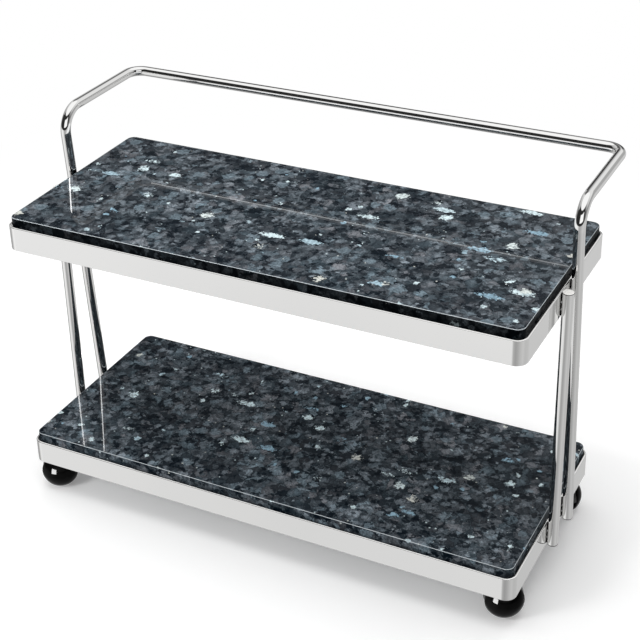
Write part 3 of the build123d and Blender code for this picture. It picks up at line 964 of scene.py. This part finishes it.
def bumperPlaces(tier):
    low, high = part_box(f"{tier}_slab")
    z = low.z + bumperLook["height"] / 2
    reachX, reachY = high.x + bumperLook["gap"] / 2, high.y - shelfY + bumperLook["gap"] / 2
    places = []
    for side in (-1, 1):
        for end in (-0.5, 0.5):
            places.append(((end * bumperLook["longSpread"], shelfY + side * reachY, z), (0, 0, 0)))
            places.append(((side * reachX, shelfY + end * bumperLook["shortSpread"], z), (0, 0, math.pi / 2)))
    return places


# Hexagon nut with chamfered corners and a bore
def nutMesh():
    across, high, cut = nutLook["across"], nutLook["high"], nutLook["chamfer"]
    steps, bore = 48, nutLook["bore"]
    flat, full = across / 2 * 0.96, across
    levels = [(bore, 0), (flat, 0), (hexRadius(across, across / 2 * 1.02), cut * 0.3), (hexRadius(across, full), cut)]
    levels += [(hexRadius(across, full), high - cut), (hexRadius(across, across / 2 * 1.02), high - cut * 0.3)]
    levels += [(flat, high), (bore, high)]
    rings = []
    for radius, height in levels:
        turns = [2 * math.pi * i / steps for i in range(steps)]
        sizes = [radius(t) if callable(radius) else radius for t in turns]
        rings.append([(r * math.cos(t), r * math.sin(t), height) for r, t in zip(sizes, turns)])
    return meshOf("hexNut", *skin(rings, True))


def stemPlaces(up):
    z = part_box("front_left_corner_plate")[1].z + up
    stems = [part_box(f"{corner}_caster_stem") for corner in corners]
    return [(((low.x + high.x) / 2, (low.y + high.y) / 2, z), (0, 0, 0.3 * i)) for i, (low, high) in enumerate(stems)]


slots = {part["node"]: part["material_slot"] for part in frame["record"]["subparts"]}
screwShape = screwMesh()
washerShape = softRing("screwWasher", screwLook["washer"], screwLook["shank"] + 0.00025, screwLook["washerThick"], 0.0001, 40)
padShape = softRing("slabPad", padLook["radius"], 0, padLook["thick"], padLook["soft"], 48)
bumperShape = bumperMesh()
for tier in tiers:
    seat = screwLook["washerThick"]
    copiedPiece(f"{tier}TubeScrews", screwShape, screwPlaces(tier, seat), screwSteel, "root", f"{tier}_tube_screws")
    copiedPiece(f"{tier}ScrewWashers", washerShape, screwPlaces(tier, seat), screwSteel, "root", f"{tier}_screw_washers")
    copiedPiece(f"{tier}SlabPads", padShape, padPlaces(tier), rubber, "root", f"{tier}_slab_pads")
    copiedPiece(f"{tier}EdgeBumpers", bumperShape, bumperPlaces(tier), rubber, "root", f"{tier}_edge_bumpers")
stemRing = softRing("stemWasher", nutLook["washer"], nutLook["bore"] + 0.0002, nutLook["washerThick"], 0.0002, 48)
copiedPiece("casterWashers", stemRing, stemPlaces(0), screwSteel, "root", "caster_washers")
copiedPiece("casterNuts", nutMesh(), stemPlaces(nutLook["washerThick"]), screwSteel, "root", "caster_nuts")
print("screws, washers, pads, bumpers and nuts made")


# What keeps its CAD shape gets its own finish
for name, node in frame["nodes"].items():
    if node.hide_render:
        continue
    node.data.materials.clear()
    node.data.materials.append(slotFinish[slots[name]])
print("carried-over nodes dressed")


# Studio: the camera, a pale floor with the shadow, a white surround and soft lamps
view = {
    "place": (0.903, -1.7395, 1.4446), "turn": 27.79, "down": 27.01, "roll": -1.7,
    "lens": 1484 / 640 * 36, "shift": (0.03125, -0.125),
}


def makeCamera():
    data = bpy.data.cameras.new("camera")
    data.sensor_width = 36
    data.lens = view["lens"]
    data.shift_x, data.shift_y = view["shift"]
    data.clip_end = 100
    camera = bpy.data.objects.new("camera", data)
    turn = Matrix.Rotation(math.radians(view["turn"]), 4, "Z")
    tilt = Matrix.Rotation(math.radians(90 - view["down"]), 4, "X")
    roll = Matrix.Rotation(math.radians(view["roll"]), 4, "Z")
    camera.matrix_world = Matrix.Translation(view["place"]) @ turn @ tilt @ roll
    bpy.context.scene.collection.objects.link(camera)
    bpy.context.scene.camera = camera


# 1 for what the camera, a mirror or glass sees, 0 for light on a surface
def seenMask(tree):
    path = addNode(tree, "ShaderNodeLightPath")
    seen = math2(tree, "MAXIMUM", path.outputs["Is Camera Ray"], path.outputs["Is Glossy Ray"])
    return math2(tree, "MAXIMUM", seen, path.outputs["Is Transmission Ray"])


floorLook = {"size": 30.0, "albedo": 0.9, "lift": 0.17, "fadeFrom": 0.9, "fadeTo": 1.6, "mirrorReach": (0.025, 0.05)}


def makeFloor():
    half = floorLook["size"]
    corners4 = [(-half, -half, 0), (half, -half, 0), (half, half, 0), (-half, half, 0)]
    mesh = bpy.data.meshes.new("floor")
    mesh.from_pydata(corners4, [], [(0, 1, 2, 3)])
    material, tree = startMaterial("paleFloor")
    albedo = floorLook["albedo"]
    matt = addNode(tree, "ShaderNodeBsdfDiffuse", {"Color": (albedo, albedo, albedo, 1)})
    lift = addNode(tree, "ShaderNodeEmission", {"Strength": math2(tree, "MULTIPLY", seenMask(tree), floorLook["lift"])})
    near = addNode(tree, "ShaderNodeAddShader", {0: matt.outputs[0], 1: lift.outputs[0]})
    white = addNode(tree, "ShaderNodeEmission", {"Strength": seenMask(tree)})
    reach = addNode(tree, "ShaderNodeVectorMath", {0: objectPoint(tree)}, operation="LENGTH").outputs["Value"]
    far = addNode(tree, "ShaderNodeMixShader", {
        0: spread(tree, reach, floorLook["fadeFrom"], floorLook["fadeTo"]), 1: near.outputs[0], 2: white.outputs[0],
    })
    path = addNode(tree, "ShaderNodeLightPath")
    through = spread(tree, path.outputs["Ray Length"], *floorLook["mirrorReach"])
    through = math2(tree, "MULTIPLY", through, path.outputs["Is Glossy Ray"])
    through = math2(tree, "MAXIMUM", through, addNode(tree, "ShaderNodeNewGeometry").outputs["Backfacing"])
    clear = addNode(tree, "ShaderNodeBsdfTransparent")
    # Mirrors see the floor close by, and further off the surround's lower half; from below it is clear
    finishMaterial(tree, addNode(tree, "ShaderNodeMixShader", {0: through, 1: far.outputs[0], 2: clear.outputs[0]}))
    floor = placeMesh("floor", mesh, material)


# What mirrors see round the cart: (degrees from the front towards +X, brightness) below and above the
# horizon and along it; the dark band is tall in front, with a bright pane in it
surroundLook = {
    "fill": 0.55, "full": 1.05,
    "below": [
        (-180, 0.5), (-158, 0.4), (-149, 0.66), (-125, 0.66), (-98, 0.35), (-80, 0.5), (-62, 0.95), (-50, 0.98), (-40, 0.91),
        (-29, 0.86), (-18, 0.89), (-7, 0.5), (12, 0.4), (32, 0.46), (55, 0.58), (78, 0.65), (101, 0.58),
        (133, 0.6), (165, 0.65), (180, 0.5),
    ],
    "above": [
        (-180, 0.84), (-175, 0.8), (-163, 0.34), (-157, 0.12), (-138, 0.12), (-130, 0.75), (-85, 0.5), (-65, 0.1),
        (75, 0.1), (100, 0.6), (140, 0.84), (180, 0.84),
    ],
    "band": [(-180, 0.05), (-150, 0.05), (-146, 0.6), (-75, 0.025), (75, 0.025), (110, 0.35), (170, 0.45), (180, 0.05)],
    "zenith": 1.05, "zenithFrom": (0.72, 0.75), "zenithSoft": 0.06, "nadir": 0.3, "nadirFrom": (-0.85, -0.72),
    "bandBack": (-0.1, 0.36), "bandFront": (-0.1, 0.79), "bandSoft": 0.04, "lowShade": 0.88,
    "paneTurn": (-3, 60), "paneHeight": (0.08, 0.6), "paneBright": 1.08, "paneSoft": 0.01,
}


def turnRamp(tree, turn, stops):
    full = surroundLook["full"]
    ramp = addNode(tree, "ShaderNodeValToRGB", {"Fac": turn})
    elements = ramp.color_ramp.elements
    for degrees, bright in stops:
        if degrees == -180:
            stop = elements[0]
        elif degrees == 180:
            stop = elements[-1]
        else:
            stop = elements.new(0.5 + degrees / 360)
        stop.color = (bright / full, bright / full, bright / full, 1)
    return math2(tree, "MULTIPLY", ramp.outputs["Color"], full)


def makeWorld():
    look = surroundLook
    world = bpy.data.worlds.new("surround")
    bpy.context.scene.world = world
    world.use_nodes = True
    tree = world.node_tree
    tree.nodes.clear()
    path = addNode(tree, "ShaderNodeLightPath")
    ray = addNode(tree, "ShaderNodeTexCoord").outputs["Generated"]
    sides = addNode(tree, "ShaderNodeSeparateXYZ", {"Vector": ray}).outputs
    height = sides[2]
    fromFront = addNode(tree, "ShaderNodeMapping", {"Vector": ray, "Rotation": (0, 0, math.pi / 2)})
    turn = addNode(tree, "ShaderNodeTexGradient", {"Vector": fromFront.outputs[0]}, gradient_type="RADIAL")
    turn = turn.outputs["Fac"]

    inFront = spread(tree, sides[1], -0.1, -0.4)

    def byTurn(pair):
        return spread(tree, inFront, 0.0, 1.0, *pair)

    topFrom = byTurn(look["zenithFrom"])
    overhead = spread(tree, height, topFrom, math2(tree, "ADD", topFrom, look["zenithSoft"]))
    above = mixColor(tree, overhead, turnRamp(tree, turn, look["above"]), (look["zenith"],) * 3 + (1,))
    below = math2(tree, "MULTIPLY", turnRamp(tree, turn, look["below"]),
                  spread(tree, height, -0.6, -0.42, look["lowShade"], 1.0))
    below = mixColor(tree, spread(tree, height, *look["nadirFrom"]), (look["nadir"],) * 3 + (1,), below)
    shade = mixColor(tree, math2(tree, "GREATER_THAN", height, 0.0), below, above)
    band = between(tree, height, *(byTurn(pair) for pair in zip(look["bandBack"], look["bandFront"])), look["bandSoft"])
    shade = mixColor(tree, band, shade, turnRamp(tree, turn, look["band"]))

    # A bright pane between two directions and two heights
    sideFrom, sideTo = (0.5 + degrees / 360 for degrees in look["paneTurn"])
    pane = between(tree, turn, sideFrom, sideTo, look["paneSoft"])
    pane = math2(tree, "MULTIPLY", pane, between(tree, height, *look["paneHeight"], look["paneSoft"] * 3))
    shade = mixColor(tree, pane, shade, (look["paneBright"],) * 3 + (1,))
    plain = mixColor(tree, seenMask(tree), (look["fill"],) * 3 + (1,), (1, 1, 1, 1))
    color = mixColor(tree, path.outputs["Is Glossy Ray"], plain, shade)
    surround = addNode(tree, "ShaderNodeBackground", {"Color": color, "Strength": 1.0})
    addNode(tree, "ShaderNodeOutputWorld", {"Surface": surround.outputs[0]})


lamps = [
    {"name": "topLamp", "place": (0.0, 0.0, 2.6), "aim": (0, 0, 0.3), "size": 2.2, "power": 41.0},
    {"name": "keyLamp", "place": (-1.1, -2.1, 1.55), "aim": (0, 0, 0.3), "size": 0.7, "power": 25.0},
    {"name": "glintLamp", "place": (-0.56, -2.34, 0.15), "aim": (0, 0, 0), "size": 1.1, "power": 850.0,
     "only": ballPieces},
]


def makeLamp(lamp):
    data = bpy.data.lights.new(lamp["name"], "AREA")
    data.size = lamp["size"]
    data.energy = lamp["power"]
    source = bpy.data.objects.new(lamp["name"], data)
    source.location = lamp["place"]
    toward = Vector(lamp["aim"]) - source.location
    source.rotation_euler = toward.to_track_quat("-Z", "Y").to_euler()
    source.visible_camera = False
    source.visible_glossy = "only" in lamp
    bpy.context.scene.collection.objects.link(source)
    if "only" in lamp:
        lit = bpy.data.collections.new(f"{lamp['name']}Lit")
        for piece in lamp["only"]:
            lit.objects.link(piece)
        source.light_linking.receiver_collection = lit
        source.light_linking.blocker_collection = lit


makeCamera()
makeFloor()
makeWorld()
for lamp in lamps:
    makeLamp(lamp)
bpy.context.scene.view_settings.view_transform = "Standard"
print("studio made")
